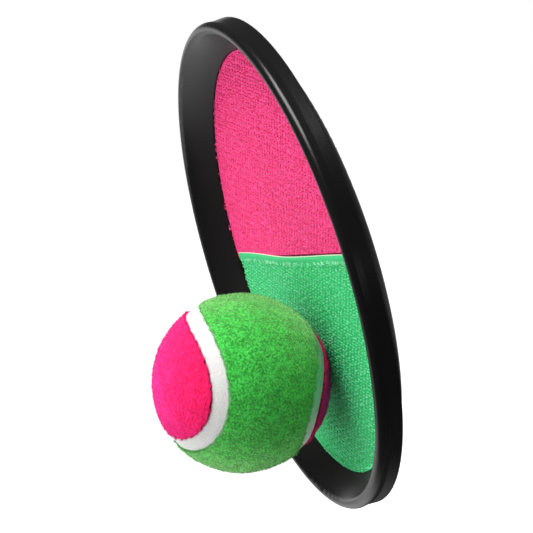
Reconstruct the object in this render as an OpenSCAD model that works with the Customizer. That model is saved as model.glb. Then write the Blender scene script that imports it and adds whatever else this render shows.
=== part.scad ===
// Catch paddle: a shallow moulded dish faced with two tone hook cloth, a hand strap on its back, and a felt ball
// Millimetres. The face looks along -Y, +Z is up, and the origin is on the dish's axis at the back of its floor

/* [Dish] */
// Radius of the flat seat for the cloth
seat_r = 82.2; // [72:0.1:100]
// Width of the sloping cone, from the seat's edge out to the lip's crest
cone_w = 10.2; // [7:0.1:14]
// Rounding of the lip
lip_r = 2.45; // [2:0.05:2.8]
// Depth from the lip's crest down to the cloth
face_depth = 10.7; // [8:0.1:16]
// How far inside the lip's outer edge the skirt starts, as a shallow groove round the dish
groove_d = 0.3; // [0.1:0.05:0.6]
// How far the skirt widens from there to its back edge
skirt_flare = 0.35; // [0:0.05:2]
// Depth of the skirt behind the lip's crest
skirt_depth = 9.2; // [7:0.1:12]
// Thickness of the skirt
skirt_t = 1.8; // [1.2:0.1:2.4]
// Thickness of the cone and of the seat's wall
wall_t = 2; // [1.4:0.1:2.8]
// Thickness of the floor
floor_t = 2; // [1.4:0.1:3]
// Rounding where the floor's back turns up
heel_r = 2.4; // [1:0.1:3]
// Number of ribs in the channel behind the lip
rib_count = 12; // [6:1:36]
// Thickness of a rib
rib_t = 1.4; // [1:0.1:2]

/* [Catch face] */
// Thickness of the foam pad under the cloth
pad_t = 1; // [0.6:0.1:2]
// Thickness of the cloth's woven ground
ground_t = 0.6; // [0.4:0.1:1]
// Height of the hooks above the ground
pile_t = 0.6; // [0.3:0.1:1]
// Height of the green cloth's upper edge above the dish's axis
seam_up = 2.7; // [-6:0.1:6]
// Width of the bare edge that laps over the pink cloth
lap_w = 3; // [2:0.1:6]

/* [Hand strap] */
// Width of the webbing
strap_w = 25; // [20:1:38]
// Thickness of the webbing
strap_t = 1.3; // [0.9:0.1:1.8]
// Distance from the dish's axis to each strap bar
bar_out = 58; // [50:1:64]
// Diameter of a strap bar
bar_d = 4.5; // [3.5:0.1:6]
// Thickness of the lugs that carry a bar
lug_t = 4; // [2.5:0.1:6]
// Height of the tab's crown above the floor's back
hand_gap = 14; // [11:0.5:17]
// Radius of the strap's crown
crown_r = 300; // [200:10:420]
// Radius of the strap's shoulders
shoulder_r = 20; // [12:1:28]
// Distance from a bar's axis to where the sewn layers meet
loop_len = 8; // [6.5:0.1:10]
// Length of the layer that is folded back and sewn
tail_len = 7; // [4:0.1:8]
// Length of the tab's straight leg that is left past the sewn layer
leg_spare = 0.9; // [0.4:0.1:3]
// Distance from the dish's axis to the free end of the tab
tab_end = 9; // [2:0.5:16]
// Length of the flap's bare pull end, past its hook tape
pull_len = 6; // [3:0.5:7]
// Thickness of the hook tape and of the loop tape
tape_t = 0.9; // [0.6:0.1:1.2]
// How much narrower than the webbing the tapes are, on each side
tape_inset = 1.5; // [0.5:0.1:3]

/* [Ball] */
// Outer diameter of the ball
ball_d = 66.6; // [60:0.1:70]
// Place of the ball across the face
ball_x = 0.2; // [-20:0.1:20]
// Place of the ball up the face
ball_up = -37.2; // [-44:0.1:44]
// How the ball is turned about X, Y and Z
ball_turn = [-22.8, 23.5, -1.4]; // [-180:0.1:180]
// Thickness of the felt
felt_t = 3; // [2:0.1:4]
// Thickness of the rubber cups
cup_t = 3.4; // [2:0.1:5]
// Width of the white strip
strip_w = 7.1; // [4:0.1:9]
// How far the strip lies below the felt
strip_sink = 0.6; // [0.2:0.1:1.2]
// Angle across a panel's waist between the middles of the strip
waist_angle = 69.8; // [60:0.1:80]

/* [Clearances] */
// Between two pieces that move apart
move_gap = 0.3; // [0.2:0.05:0.5]
// Between the cloth's rim and the wall of its seat
seat_gap = 0.2; // [0.1:0.05:0.5]
// Between a strap's loop and its bar, on the radius
loop_gap = 0.08; // [0.02:0.01:0.1]
// Between a strap's edge and the lugs beside it
lug_gap = 0.5; // [0.3:0.1:1]
// Between a strap's loop and the pad or the window's edge
window_gap = 0.4; // [0.3:0.1:1]
// Glue line between the layers of the ball
glue = 0.15; // [0.1:0.01:0.3]

/* [Hidden] */
$fn = 96;

// Radius at the lip's crest, and heights in front of the floor's back
crest_r = seat_r + cone_w;
cloth_t = ground_t + pile_t;
cloth_h = floor_t + pad_t;
face_h = cloth_h + cloth_t;
crest_h = face_h + face_depth;
lip_h = crest_h - lip_r;
skirt_h = crest_h - skirt_depth;

// The inner cone runs from the seat's edge and touches the lip's rounding
cone_foot = [seat_r, face_h];
lip_centre = [crest_r, lip_h];
to_lip = lip_centre - cone_foot;
cone_angle = atan2(to_lip.y, to_lip.x) + asin(lip_r / norm(to_lip));
cone_dir = [cos(cone_angle), sin(cone_angle)];
cone_back = wall_t * [cone_dir.y, -cone_dir.x];
cone_top = cone_foot + sqrt(to_lip * to_lip - lip_r * lip_r) * cone_dir;
heel_end = seat_r + wall_t;

// The skirt's outer line, carried on up into the lip
skirt_start = [crest_r + lip_r - groove_d, lip_h - lip_r];
skirt_edge = [skirt_start.x + skirt_flare, skirt_h];
skirt_line = skirt_start - skirt_edge;
skirt_top = skirt_edge + skirt_line * (lip_h - skirt_h) / skirt_line.y;

// Cloth and pad
cloth_r = seat_r - seat_gap;
lap_low = seam_up - lap_w;

// Strap bars and the loops round them
bar_r = bar_d / 2;
bore_r = bar_r + loop_gap;
loop_r = bore_r + strap_t;
bar_back = loop_r + window_gap - floor_t;
lug_r = bar_r + strap_t;
window_w = strap_w + 2 * lug_gap;
window_h = 2 * (loop_r + 2 * window_gap);

// Where the webbing leaves the bar on its way to the sewn layers, as an angle from the leg's middle line
leave_angle = atan2(strap_t, loop_len) + acos(loop_r / norm([loop_len, strap_t]));
throat_len = bore_r / cos(leave_angle);
sewn_to = loop_len + tail_len;

// The strap's arch from the side: a flat crown, then a shoulder, then a leg that points at the bar
bar_at = [bar_out, bar_back];
tape_lift = strap_t + tape_t;
flap_lift = tape_lift + move_gap + tape_t;
crown_base = hand_gap - crown_r;
tab_leg = sewn_to + leg_spare;
tab_turn = atan2(bar_at.x, bar_at.y - crown_base)
  - corner_angle(norm([bar_at.x, bar_at.y - crown_base]), crown_r - shoulder_r, norm([tab_leg, shoulder_r]));
tab_shoulder = shoulder_at(crown_r, tab_turn);
leg_slope = atan2(bar_at.x - tab_shoulder.x, bar_at.y - tab_shoulder.y) - atan2(tab_leg, shoulder_r);
leg_reach = (bar_at.y - crown_base) * cos(leg_slope) + bar_at.x * sin(leg_slope) - shoulder_r;
flap_turn = leg_slope - acos(leg_reach / (crown_r + flap_lift - shoulder_r));
flap_shoulder = shoulder_at(crown_r + flap_lift, flap_turn);
flap_leg = leg_from(flap_shoulder);
tab_end_turn = asin(tab_end / crown_r);
tape_w = strap_w - 2 * tape_inset;
// Facets of each arc of the arch, and of a loop round its bar
arc_steps = 10;
loop_steps = 40;

// Ball: the strip's middle is a closed curve of three terms, worked out from the angle across the waist
ball_r = ball_d / 2;
felt_in = ball_r - felt_t;
cup_r = felt_in - glue;
ball_front = face_h + move_gap + ball_r;
seam_b = (1 - sin(waist_angle / 2)) / 2;
seam_a = 1 - seam_b;
seam_c = 2 * sqrt(seam_a * seam_b);
strip_half = strip_w / 2 / ball_r * 180 / PI;
strip_slack = glue / ball_r * 180 / PI;
// Facets along half of the strip, across a felt panel and across the strip
seam_steps = 36;
panel_steps = 10;
strip_steps = 2;

// Angle of a triangle's corner, from the sides beside it and the side across from it
function corner_angle(beside, other, opposite) =
  acos((beside * beside + other * other - opposite * opposite) / (2 * beside * other));

// Centre of a shoulder's arc, from the crown's radius and the angle at which the crown ends
function shoulder_at(crown, turn) =
  [(crown - shoulder_r) * sin(turn), crown_base + (crown - shoulder_r) * cos(turn)];

// Length of the straight leg from a shoulder's end to the bar's axis
function leg_from(shoulder) =
  norm(bar_at - shoulder - shoulder_r * [sin(leg_slope), cos(leg_slope)]);

// Points along an arc, between two angles from upright, without its first point
function arc_points(centre, radius, from, to) =
  [for (i = [1 : arc_steps]) let (a = from + (to - from) * i / arc_steps) centre + radius * [sin(a), cos(a)]];

// A point on a leg, at a distance from the bar's axis and a lift off the leg's middle line
function leg_point(along, lift) =
  bar_at + along * [-cos(leg_slope), sin(leg_slope)] + lift * [sin(leg_slope), cos(leg_slope)];

function mirrored(points) = [for (p = points) [-p.x, p.y]];

// Lines from the top of a leg over its shoulder, along the crown, at a lift off the strap's inner face
function tab_arch(lift) = concat(
  [leg_point(tab_leg, lift)],
  arc_points(tab_shoulder, shoulder_r + lift, leg_slope, tab_turn),
  arc_points([0, crown_base], crown_r + lift, tab_turn, tab_end_turn)
);
function flap_arch(lift) = concat(
  [leg_point(flap_leg, lift)],
  arc_points(flap_shoulder, shoulder_r + lift, leg_slope, flap_turn),
  arc_points([0, crown_base], crown_r + flap_lift + lift, flap_turn, -tab_end_turn),
  mirrored(arc_points([0, crown_base], crown_r + flap_lift + lift, tab_end_turn, tab_turn)),
  mirrored(arc_points(tab_shoulder, shoulder_r + flap_lift + lift, tab_turn, leg_slope)),
  mirrored([leg_point(tab_leg - pull_len, flap_lift + lift)])
);

function reversed(points) = [for (i = [len(points) - 1 : -1 : 0]) points[i]];

// Half a strap from the side: round its bar, along the layer sewn under its leg, out along its arch and back
function strap_outline(arch_low, arch_high) = concat(
  [for (i = [0 : loop_steps])
    let (a = leave_angle + (360 - 2 * leave_angle) * i / loop_steps)
    leg_point(loop_r * cos(a), loop_r * sin(a))],
  [leg_point(loop_len, -strap_t), leg_point(sewn_to, -strap_t), leg_point(sewn_to, 0)],
  arch_low,
  reversed(arch_high),
  [leg_point(loop_len, strap_t)]
);

// Middle of the ball's strip, as a direction from the ball's centre
function seam_dir(t) = [
  seam_c * cos(2 * t),
  seam_a * cos(t) - seam_b * cos(3 * t),
  seam_a * sin(t) + seam_b * sin(3 * t)
];

// Which way the strip runs there
function seam_run(t) = [
  -2 * seam_c * sin(2 * t),
  -seam_a * sin(t) + 3 * seam_b * sin(3 * t),
  seam_a * cos(t) + 3 * seam_b * cos(3 * t)
];

function unit(v) = v / norm(v);

// A direction some degrees to one side of the strip's middle: positive is the pink side
function beside_seam(t, degrees) =
  cos(degrees) * seam_dir(t) + sin(degrees) * unit(cross(seam_run(t), seam_dir(t)));

// A direction part of the way from one direction to another
function along_arc(from, to, share) =
  let (angle = acos(from * to)) (sin((1 - share) * angle) * from + sin(share * angle) * to) / sin(angle);

// Directions over a felt panel: rows across it from edge to edge, starting just short of one tip of the panel
function panel_rows(start, degrees) = [
  for (i = [0 : seam_steps])
    let (t = start + 180 * (i + 0.25) / (seam_steps + 0.5))
    let (left = beside_seam(t, degrees), right = beside_seam(2 * start - t, degrees))
    [for (j = [0 : panel_steps]) along_arc(left, right, j / panel_steps)]
];

// Turns what is drawn lying flat, front up, so that it faces the way the dish does
module facing() {
  rotate([90, 0, 0]) children();
}

// Gives a side view, drawn as height up the dish and distance behind its floor, a width across the dish
module across(width) {
  rotate([0, -90, 0]) linear_extrude(height = width, center = true) children();
}

// Half a strap, with the hole for its bar and the throat where its layers come together
module strap_half(arch_low, arch_high) {
  difference() {
    across(strap_w) polygon(strap_outline(arch_low, arch_high));
    across(2 * strap_w) translate(bar_at) circle(bore_r);
    across(2 * strap_w) polygon([leg_point(0, bar_r), leg_point(throat_len, 0), leg_point(0, -bar_r)]);
  }
}

// Side view of a tape on the tab's arch
module tape_side(lift) {
  polygon(concat(tab_arch(lift), reversed(tab_arch(lift + tape_t))));
}

// Section of the dish from its axis out, with its front up
module dish_section() {
  difference() {
    union() {
      square([heel_end - heel_r, floor_t]);
      intersection() {
        translate([heel_end - heel_r, heel_r]) circle(heel_r);
        square([heel_end, heel_r]);
      }
      translate([seat_r, heel_r]) square([wall_t, face_h - heel_r]);
      polygon([cone_foot, cone_top, cone_top + cone_back, cone_foot + cone_back]);
      translate(lip_centre) circle(lip_r);
      polygon([skirt_edge, skirt_top, skirt_top - [skirt_t, 0], skirt_edge - [skirt_t, 0]]);
    }
    // Seat of the pad and the cloth
    translate([0, floor_t]) square([seat_r, face_h - floor_t]);
  }
}

// Ribs in the channel behind the lip, each a triangle between the cone and the skirt
module ribs() {
  rib_outer = skirt_edge + [-skirt_t / 2, skirt_t / 2];
  for (i = [0 : rib_count - 1])
    rotate((i + 0.5) * 360 / rib_count) rotate([90, 0, 0])
      linear_extrude(height = rib_t, center = true)
        polygon([cone_foot + cone_back / 2, lip_centre, rib_outer]);
}

// A bar across its window in the floor, carried by a lug at each end
module strap_bar() {
  translate([0, bar_back, bar_out]) rotate([0, 90, 0])
    cylinder(d = bar_d, h = window_w + lug_t, center = true);
  for (side = [-1, 1])
    translate([side * (window_w + lug_t) / 2, 0, 0]) across(lug_t) {
      translate(bar_at) circle(lug_r);
      translate([bar_out - lug_r, -floor_t / 2]) square([2 * lug_r, bar_back + floor_t / 2]);
    }
}

module dish() {
  color("#1c1c1e") {
    facing() difference() {
      union() {
        rotate_extrude($fn = 180) dish_section();
        ribs();
      }
      for (side = [-1, 1])
        translate([0, side * bar_out, floor_t / 2]) cube([window_w, window_h, 2 * floor_t], center = true);
    }
    strap_bar();
    mirror([0, 0, 1]) strap_bar();
  }
}

module face_pad() {
  color("dimgray") facing() translate([0, 0, floor_t]) cylinder(r = cloth_r, h = pad_t);
}

// Part of the cloth's disc between two heights up the face and two heights of its thickness
module cloth_part(low, high, from, to) {
  translate([0, 0, cloth_h + from]) intersection() {
    cylinder(r = cloth_r, h = to - from);
    translate([-cloth_r, low, 0]) cube([2 * cloth_r, high - low, to - from]);
  }
}

module upper_cloth() {
  color("deeppink") facing() {
    cloth_part(seam_up, cloth_r, 0, cloth_t);
    cloth_part(lap_low, seam_up, 0, ground_t);
  }
}

module lower_cloth() {
  color("mediumseagreen") facing() {
    cloth_part(-cloth_r, lap_low, 0, cloth_t);
    cloth_part(lap_low, seam_up, ground_t, cloth_t);
  }
}

module strap_flap() {
  color("#2a2a2c") strap_half(flap_arch(0), flap_arch(strap_t));
}

module hook_patch() {
  color("#3a3a3d") mirror([0, 0, 1]) across(tape_w) tape_side(flap_lift - tape_t);
}

module strap_tab() {
  color("#2a2a2c") mirror([0, 0, 1]) strap_half(tab_arch(0), tab_arch(strap_t));
}

module loop_patch() {
  color("#3a3a3d") mirror([0, 0, 1]) across(tape_w) tape_side(strap_t);
}

// Puts what is drawn round the ball's centre where the ball is stuck, turned as it landed
module on_ball() {
  translate([ball_x, -ball_front, ball_up]) rotate(ball_turn) children();
}

// Half of the ball's rubber core, open towards -Z
module core_cup() {
  rotate_extrude() intersection() {
    difference() {
      circle(cup_r);
      circle(cup_r - cup_t);
    }
    square(cup_r);
  }
}

// A closed skin over a grid of directions: rows of directions from the ball's centre, between two radii
module ball_patch(rows, inner, outer, closed) {
  wide = len(rows[0]);
  side = len(rows) * wide;
  last = closed ? len(rows) - 1 : len(rows) - 2;
  at = function(i, j) (i % len(rows)) * wide + j;
  points = [for (r = [inner, outer], row = rows, d = row) r * d];
  quads = [
    for (i = [0 : last], j = [0 : wide - 2]) [at(i, j), at(i + 1, j), at(i + 1, j + 1), at(i, j + 1)]
  ];
  edges = [
    for (i = [0 : last]) [at(i, 0), side + at(i, 0), side + at(i + 1, 0), at(i + 1, 0)],
    for (i = [0 : last]) [at(i + 1, wide - 1), side + at(i + 1, wide - 1), side + at(i, wide - 1), at(i, wide - 1)]
  ];
  ends = closed ? [] : [
    for (j = [0 : wide - 2]) [at(0, j), at(0, j + 1), side + at(0, j + 1), side + at(0, j)],
    for (j = [0 : wide - 2]) [at(last + 1, j + 1), at(last + 1, j), side + at(last + 1, j), side + at(last + 1, j + 1)]
  ];
  faces = concat(quads, [for (q = quads) [for (k = [3 : -1 : 0]) side + q[k]]], edges, ends);
  polyhedron(points, [for (q = faces, t = [[0, 1, 2], [0, 2, 3]]) [for (k = t) q[k]]]);
}

module core_cup_front() {
  color("gray") on_ball() rotate([90, 0, 0]) core_cup();
}

module core_cup_rear() {
  color("gray") on_ball() rotate([-90, 0, 0]) core_cup();
}

module ball_seam() {
  half = strip_half - strip_slack;
  rows = [
    for (i = [0 : 2 * seam_steps - 1])
      [for (j = [0 : strip_steps]) beside_seam(180 * i / seam_steps, half * (2 * j / strip_steps - 1))]
  ];
  color("white") on_ball() ball_patch(rows, felt_in, ball_r - strip_sink, true);
}

module ball_green_felt() {
  color("limegreen") on_ball() ball_patch(panel_rows(-90, -strip_half), felt_in, ball_r, false);
}

module ball_pink_felt() {
  color("hotpink") on_ball() ball_patch(panel_rows(0, strip_half), felt_in, ball_r, false);
}

dish();
face_pad();
upper_cloth();
lower_cloth();
strap_flap();
hook_patch();
strap_tab();
loop_patch();
core_cup_front();
core_cup_rear();
ball_seam();
ball_green_felt();
ball_pink_felt();
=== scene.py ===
# %% [markdown]
# # A hook and loop catch paddle
#
# The paddle is a black dish with a strap behind it to hold it by. Its face is two half discs of hook
# cloth, and a felt ball sticks to the hooks. The solids come from the CAD model, which stays the frame
# for everything here. The hard pieces keep their CAD meshes. Each soft piece is made again with its
# threads and fibres, in the place where its solid was. Lengths are in millimetres unless a line says
# otherwise, with +Z up along the strap and -Y out of the catch face.

# %% The frame
import math

import bpy
import numpy as np
from mathutils import Euler, Matrix, Vector


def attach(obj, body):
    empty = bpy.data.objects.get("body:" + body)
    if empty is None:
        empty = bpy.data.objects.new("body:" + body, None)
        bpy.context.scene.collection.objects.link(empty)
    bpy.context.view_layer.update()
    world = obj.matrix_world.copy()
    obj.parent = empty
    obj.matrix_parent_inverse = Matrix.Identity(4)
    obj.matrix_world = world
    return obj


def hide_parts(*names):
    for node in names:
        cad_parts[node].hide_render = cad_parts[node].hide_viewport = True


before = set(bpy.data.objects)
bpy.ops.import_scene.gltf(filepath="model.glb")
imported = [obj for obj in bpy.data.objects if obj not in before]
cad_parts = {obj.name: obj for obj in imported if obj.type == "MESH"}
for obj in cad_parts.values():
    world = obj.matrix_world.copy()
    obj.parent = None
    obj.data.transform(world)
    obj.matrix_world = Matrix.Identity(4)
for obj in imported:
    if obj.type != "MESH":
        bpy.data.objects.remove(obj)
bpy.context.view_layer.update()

MM = 0.001
SEED = 7
rng = np.random.default_rng(SEED)


# %% [markdown]
# ## The camera
#
# The paddle is seen almost edge on, from the right of its catch face and a little above it, with the
# camera rolled. Such a view can be found by eye. Here it was fitted: marks on the rim, the cloth and the
# ball have known places in the part, so their places in the photograph give the angles, the distance and
# the lens. The camera aims at the middle of the lip.

# %% Camera
VIEW_TURN, VIEW_UP, VIEW_ROLL, FACE_LEAN = (math.radians(v) for v in (74.56, 5.98, -16.15, 0.54))
VIEW_AWAY = 772.6 * MM
AIM = Vector((0, -14.9 * MM, 0))
LENS, LENS_SHIFT = 139.3, (-0.0062, 0.0056)
SEEN_TO_METRES = 50

back = Vector((
    math.sin(VIEW_TURN) * math.cos(VIEW_UP),
    -math.cos(VIEW_TURN) * math.cos(VIEW_UP),
    math.sin(VIEW_UP),
))
right = Vector((math.cos(VIEW_TURN), math.sin(VIEW_TURN), 0))
axes = Matrix((right, back.cross(right), back)).transposed() @ Matrix.Rotation(VIEW_ROLL, 3, "Z")
lean = Matrix.Rotation(FACE_LEAN, 3, "Y")

camera = bpy.data.objects.new("camera", bpy.data.cameras.new("camera"))
camera.matrix_world = Matrix.Translation(AIM + lean @ back * VIEW_AWAY) @ (lean @ axes).to_4x4()
camera.data.lens = LENS
camera.data.shift_x, camera.data.shift_y = LENS_SHIFT
camera.data.clip_end = SEEN_TO_METRES
scene = bpy.context.scene
scene.collection.objects.link(camera)
scene.camera = camera
scene.view_settings.view_transform = "Standard"
print("camera at", [round(v, 3) for v in camera.matrix_world.translation], "metres")

# %% [markdown]
# ## Writing shader nodes as sums
#
# A finish is a small network of nodes. It could be drawn in the shader editor, or built node by node,
# where every sum takes several lines. This class wraps one socket instead, so that a mask is written as a
# sum, and one method makes any other node from its type, its settings and what goes into it.

# %% Signals
MIX_SHARE, MIX_FIRST, MIX_SECOND, MIX_RESULT = 0, 6, 7, 2


class Signal:
    """A shader socket that works in sums."""

    def __init__(self, socket):
        self.socket = socket
        self.tree = socket.id_data

    def node(self, kind, inputs, out=0, **settings):
        made = self.tree.nodes.new("ShaderNode" + kind)
        for name, value in settings.items():
            setattr(made, name, value)
        for key, value in inputs.items():
            if isinstance(value, Signal):
                self.tree.links.new(value.socket, made.inputs[key])
            else:
                made.inputs[key].default_value = value
        return Signal(made.outputs[out])

    def math(self, operation, *values):
        return self.node("Math", dict(enumerate(values)), operation=operation)

    def __add__(self, other):
        return self.math("ADD", self, other)

    def __sub__(self, other):
        return self.math("SUBTRACT", self, other)

    def __rsub__(self, other):
        return self.math("SUBTRACT", other, self)

    def __mul__(self, other):
        return self.math("MULTIPLY", self, other)

    def __pow__(self, other):
        return self.math("POWER", self, other)

    def __rpow__(self, other):
        return self.math("POWER", other, self)

    __radd__ = __add__
    __rmul__ = __mul__

    def step(self, low, high):
        """0 below low, 1 above high, and smooth between them."""
        limits = {"Value": self, "From Min": low, "From Max": high}
        return self.node("MapRange", limits, interpolation_type="SMOOTHSTEP")

    def mix(self, first, second):
        """The first colour where this is 0, and the second where it is 1."""
        first, second = (c if isinstance(c, Signal) else (*c, 1) for c in (first, second))
        inputs = {MIX_SHARE: self, MIX_FIRST: first, MIX_SECOND: second}
        return self.node("Mix", inputs, out=MIX_RESULT, data_type="RGBA")

    def along(self, way):
        """How far a vector goes along a direction."""
        return self.node("VectorMath", {0: self, 1: way}, out="Value", operation="DOT_PRODUCT")

    def millimetres(self):
        """The three measures of a place."""
        return [self.along(way) for way in ((1 / MM, 0, 0), (0, 1 / MM, 0), (0, 0, 1 / MM))]

    def noise(self, grain, detail=2.0):
        """Noise with lumps about as large as grain."""
        return self.node("TexNoise", {"Vector": self, "Scale": 1 / (grain * MM), "Detail": detail})

    def bump(self, height, **more):
        """A surface normal for a height."""
        return self.node("Bump", {"Height": height, "Distance": MM, "Strength": 1.0, **more})


# %% Finishes
def new_finish(name, roughness=0.7, specular=0.5, sheen=0.0, sheen_tint=(1, 1, 1)):
    """A material, the signal of the place on the piece, and a function that feeds the shader."""
    material = bpy.data.materials.new(name)
    material.use_nodes = True
    tree = material.node_tree
    shader = tree.nodes["Principled BSDF"]
    shader.inputs["Roughness"].default_value = roughness
    shader.inputs["Specular IOR Level"].default_value = specular
    shader.inputs["Sheen Weight"].default_value = sheen
    shader.inputs["Sheen Tint"].default_value = (*sheen_tint, 1)
    place = Signal(tree.nodes.new("ShaderNodeTexCoord").outputs["Object"])

    def feed(socket, value):
        if isinstance(value, Signal):
            tree.links.new(value.socket, shader.inputs[socket])
        else:
            shader.inputs[socket].default_value = value

    return material, place, feed


def paint(node, finish):
    """Put a finish on a solid that keeps its CAD mesh."""
    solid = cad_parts[node]
    solid.data.materials.clear()
    solid.data.materials.append(finish)
    print(node, "keeps its", len(solid.data.polygons), "CAD faces, in", finish.name)


# %% [markdown]
# ## Meshes from points
#
# Cloth could be a plane with a Solidify modifier, and fibres a hair system. Both would have to be turned
# into meshes for the export, with a number of faces that is hard to foresee. So every soft piece is a
# grid of points, worked out as an array. A sheet is two such grids with a rim between them, as thick as
# the real cloth, and a thread or fibre is a thin tube along a path.

# %% Sheets
def add_piece(name, points, faces, finish, body, slot):
    """A mesh piece in the part's frame, with smooth shading, which rides a body."""
    mesh = bpy.data.meshes.new(name)
    mesh.from_pydata((np.asarray(points) * MM).tolist(), [], [list(face) for face in faces])
    mesh.polygons.foreach_set("use_smooth", [True] * len(mesh.polygons))
    mesh.materials.append(finish)
    piece = bpy.data.objects.new(name, mesh)
    scene.collection.objects.link(piece)
    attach(piece, body)
    return piece


def grid_faces(rows, columns, first=0, flip=False):
    """The quads of a grid of points, numbered row by row."""
    corner = first + (np.arange(rows - 1)[:, None] * columns + np.arange(columns - 1)).reshape(-1, 1)
    ring = np.array([0, 1, columns + 1, columns])
    return corner + (ring[::-1] if flip else ring)


def slab(front, rear):
    """A closed sheet between two grids of points, each rows x columns x 3."""
    rows, columns = front.shape[:2]
    count = rows * columns
    number = np.arange(count).reshape(rows, columns)
    edge = np.concatenate([number[0], number[1:, -1], number[-1, -2::-1], number[-2:0:-1, 0]])
    after = np.roll(edge, -1)
    rim = np.stack([edge, edge + count, after + count, after], axis=1)
    faces = [grid_faces(rows, columns), grid_faces(rows, columns, count, flip=True), rim]
    return np.concatenate([front.reshape(-1, 3), rear.reshape(-1, 3)]), np.concatenate(faces)


print("a sheet of 3 x 3 points has", len(slab(*np.zeros((2, 3, 3, 3)))[1]), "faces")

# %% Strands
NO_PATH_WAY = np.array([0.36, 0.48, 0.8])
CELL_MARGIN, CELL_SPAN, FACE_SPAN, CAP_SPAN = 0.06, 0.88, 0.96, 0.45


def unit(vectors):
    return vectors / np.maximum(np.linalg.norm(vectors, axis=-1, keepdims=True), 1e-9)


def tube_mesh(paths, radii, sides):
    """The points and faces of closed tubes along many paths at once."""
    count, knots = paths.shape[:2]
    along = unit(np.gradient(paths, axis=1))
    across = unit(np.cross(along, NO_PATH_WAY))
    other = np.cross(along, across)
    turn = np.arange(sides) * 2 * math.pi / sides
    ring = across[:, :, None] * np.cos(turn)[:, None] + other[:, :, None] * np.sin(turn)[:, None]
    points = paths[:, :, None] + ring * np.broadcast_to(radii, (count, knots))[:, :, None, None]
    number = np.arange(count * knots * sides).reshape(count, knots, sides)
    beside = np.roll(number, -1, axis=2)
    quads = np.stack([number[:, :-1], beside[:, :-1], beside[:, 1:], number[:, 1:]], axis=-1)
    caps = np.stack([number[:, 0, ::-1], number[:, -1]], axis=1)
    return points.reshape(-1, 3), quads.reshape(-1, 4).tolist() + caps.reshape(-1, sides).tolist()


def tube_uv(count, knots, sides):
    """A place of its own on the texture for each face: a square for each tube, shared out to its faces."""
    squares = math.ceil(math.sqrt(count))
    square = np.arange(count)
    origin = (np.stack([square % squares, square // squares], axis=-1) + CELL_MARGIN) / squares
    size = CELL_SPAN / np.array([sides, knots]) / squares
    knot, side = np.meshgrid(np.arange(knots - 1), np.arange(sides), indexing="ij")
    corners = np.array([[0, 0], [1, 0], [1, 1], [0, 1]]) * FACE_SPAN + (1 - FACE_SPAN) / 2
    quad_uv = origin[:, None, None, None] + (np.stack([side, knot], axis=-1)[..., None, :] + corners) * size
    turn = np.arange(sides) * 2 * math.pi / sides
    cap_ring = 0.5 + CAP_SPAN * np.stack([np.cos(turn), np.sin(turn)], axis=1)
    cap_low = np.array([[0, knots - 1], [1, knots - 1]])
    cap_uv = origin[:, None, None] + (cap_low[:, None] + cap_ring) * size
    return np.concatenate([quad_uv.reshape(-1, 2), cap_uv.reshape(-1, 2)])


def add_strands(name, paths, radii, finish, body, slot, sides=3):
    """A piece of many threads, hooks or fibres."""
    points, faces = tube_mesh(paths, radii, sides)
    piece = add_piece(name, points, faces, finish, body, slot)
    layer = piece.data.uv_layers.new(name="OFBake")
    layer.data.foreach_set("uv", tube_uv(*paths.shape[:2], sides).ravel())
    print(name, "has", len(paths), "strands and", len(faces), "faces")
    return piece


short_path = np.linspace((0.0, 0.0, 0.0), (0.0, 0.0, 1.0), 4)[None]
print("a strand of four points has", len(tube_mesh(short_path, 0.1, 3)[1]), "faces")

# %% [markdown]
# ## The dish
#
# The dish is one moulding of black plastic, and keeps its CAD mesh. Its tool had a fine spark eroded
# grain, so the surface is satin. A painted texture could carry the grain, but noise needs no picture and
# stays sharp from near: it drives the roughness a little, and a very low bump breaks up the reflections.
# A Bevel node eases the corners. The real lip shows a groove behind it only at the foot of the dish, so
# higher up the shading runs straight over the groove. At the foot the groove is dull, and so is the inner
# cone next to the cloth.

# %% Dish finish
GRAIN, GRAIN_H, CLOUDS = 0.5, 0.006, 9
SATIN, GRAIN_DULL, GROOVE_DULL, CONE_DULL = 0.22, 0.06, 0.5, 0.22
EASED_R, EASED_SAMPLES = 0.9, 6
GROOVE_R, GROOVE_Y, GROOVE_FADE = 94.45, -11.2, (0.7, 1.5)
STRAIGHT_FROM_Z = (-78, -52)
CONE_FADE_R, CONE_FADE_Y = (82, 92), (-4, -3)

plastic, place, feed = new_finish("satin_black_plastic", specular=0.4)
grain = place.noise(GRAIN, detail=3)
x, y, z = place.millimetres()
far = (x * x + z * z) ** 0.5
past, behind = far - GROOVE_R, y - GROOVE_Y
groove = 1 - ((past * past + behind * behind) ** 0.5).step(*GROOVE_FADE)
high = z.step(*STRAIGHT_FROM_Z)
by_cloth = (1 - far.step(*CONE_FADE_R)) * (1 - y.step(*CONE_FADE_Y))
dull = GROOVE_DULL * groove * (1 - high) + CONE_DULL * by_cloth
feed("Base Color", place.noise(CLOUDS).mix((0.004, 0.004, 0.0042), (0.006, 0.006, 0.0062)))
feed("Roughness", SATIN + GRAIN_DULL * grain + dull)

eased = place.node("Bevel", {"Radius": EASED_R * MM}, samples=EASED_SAMPLES)
from_axis = place.node("VectorMath", {0: place, 1: (1, 0, 1)}, operation="MULTIPLY")
straight_out = place.node("VectorMath", {0: from_axis}, operation="NORMALIZE")
feed("Normal", place.bump(GRAIN_H * grain, Normal=(groove * high).mix(eased, straight_out)))
paint("dish", plastic)

# %% [markdown]
# ## The hook cloth
#
# The face cloth is woven with stiff loops that are cut into hooks. Each half disc is glued to the foam
# pad. The green half has a bare woven edge, which laps over the pink half and bows down a little in the
# middle. One disc with a texture in two colours would do for a view from the front. From the side the
# lap, the thickness and the cloth that climbs the cone at the foot all show, so each half is a sheet of
# its own.

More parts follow.
